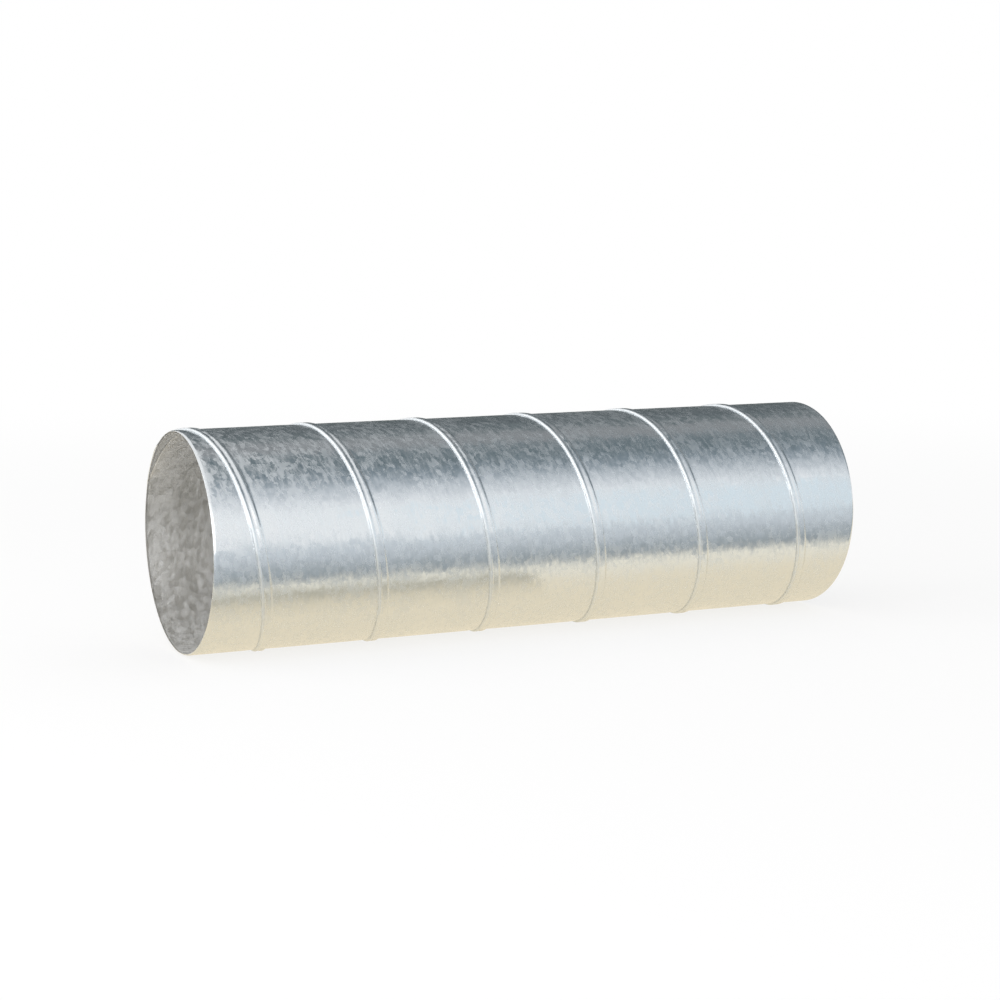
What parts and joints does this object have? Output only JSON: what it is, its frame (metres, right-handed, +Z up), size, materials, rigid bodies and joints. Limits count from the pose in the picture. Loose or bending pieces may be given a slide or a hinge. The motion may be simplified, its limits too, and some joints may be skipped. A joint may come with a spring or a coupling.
{
  "type": "spiral duct",
  "caption": "Straight piece of round spiral duct in galvanised sheet steel, with a helical lock seam on the outside and a smooth bore open at both ends.",
  "frame": {"origin": "on the floor, below the middle of the pipe's axis", "axes": "+X along the pipe towards the right end of the picture, +Y away from the viewer, +Z up"},
  "size_m": [0.65, 0.204, 0.204],
  "materials": {
    "galvanised_steel": "bright zinc with fine spangle"
  },
  "bodies": {
    "root": {"spiral_duct": "galvanised_steel"}
  },
  "joints": []
}
